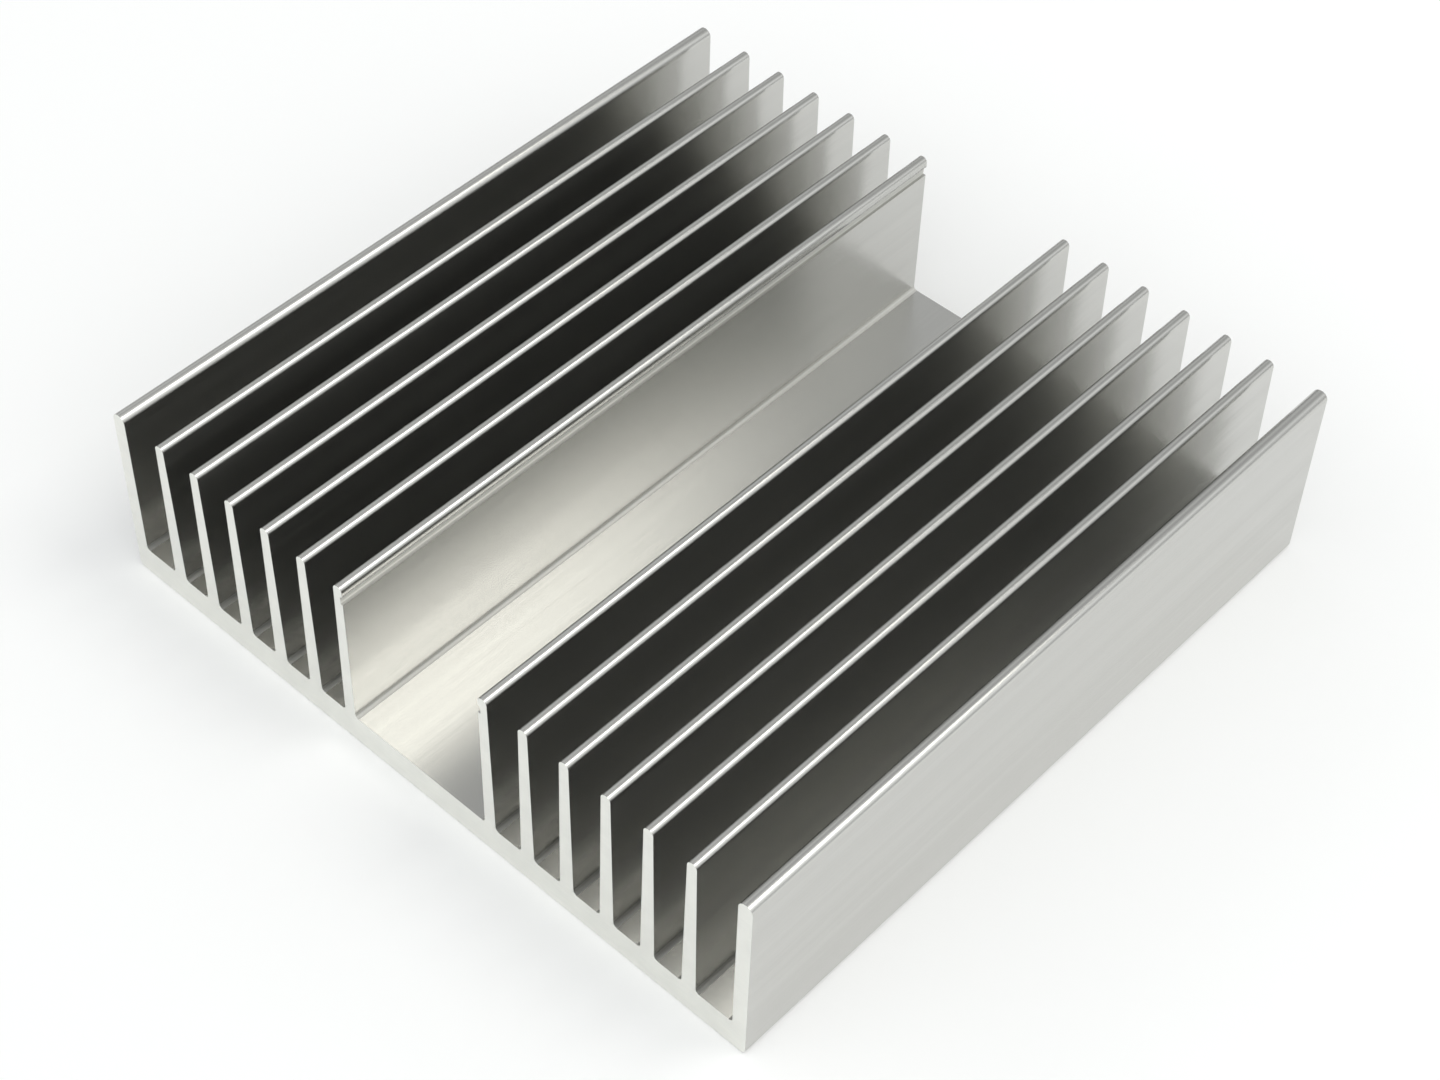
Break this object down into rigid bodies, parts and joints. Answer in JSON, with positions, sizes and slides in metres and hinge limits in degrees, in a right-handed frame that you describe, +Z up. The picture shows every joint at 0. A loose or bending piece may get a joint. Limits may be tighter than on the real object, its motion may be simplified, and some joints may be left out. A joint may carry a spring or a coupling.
{
  "type": "extruded heat sink",
  "caption": "Extruded aluminium heat sink: a flat base with banks of tapered upright fins either side of an open channel with clip grooves, sawn to length.",
  "frame": {"origin": "centre of the flat underside", "axes": "+Z up from the underside to the fin tips; Y along the extrusion, so the fins and the channel run along Y; X across the fins"},
  "size_m": [0.15, 0.15, 0.04],
  "materials": {
    "aluminium": "plain mill finish with fine lines along the extrusion; sawn ends are finely matte"
  },
  "bodies": {
    "root": {"heat_sink": "aluminium"}
  },
  "joints": []
}
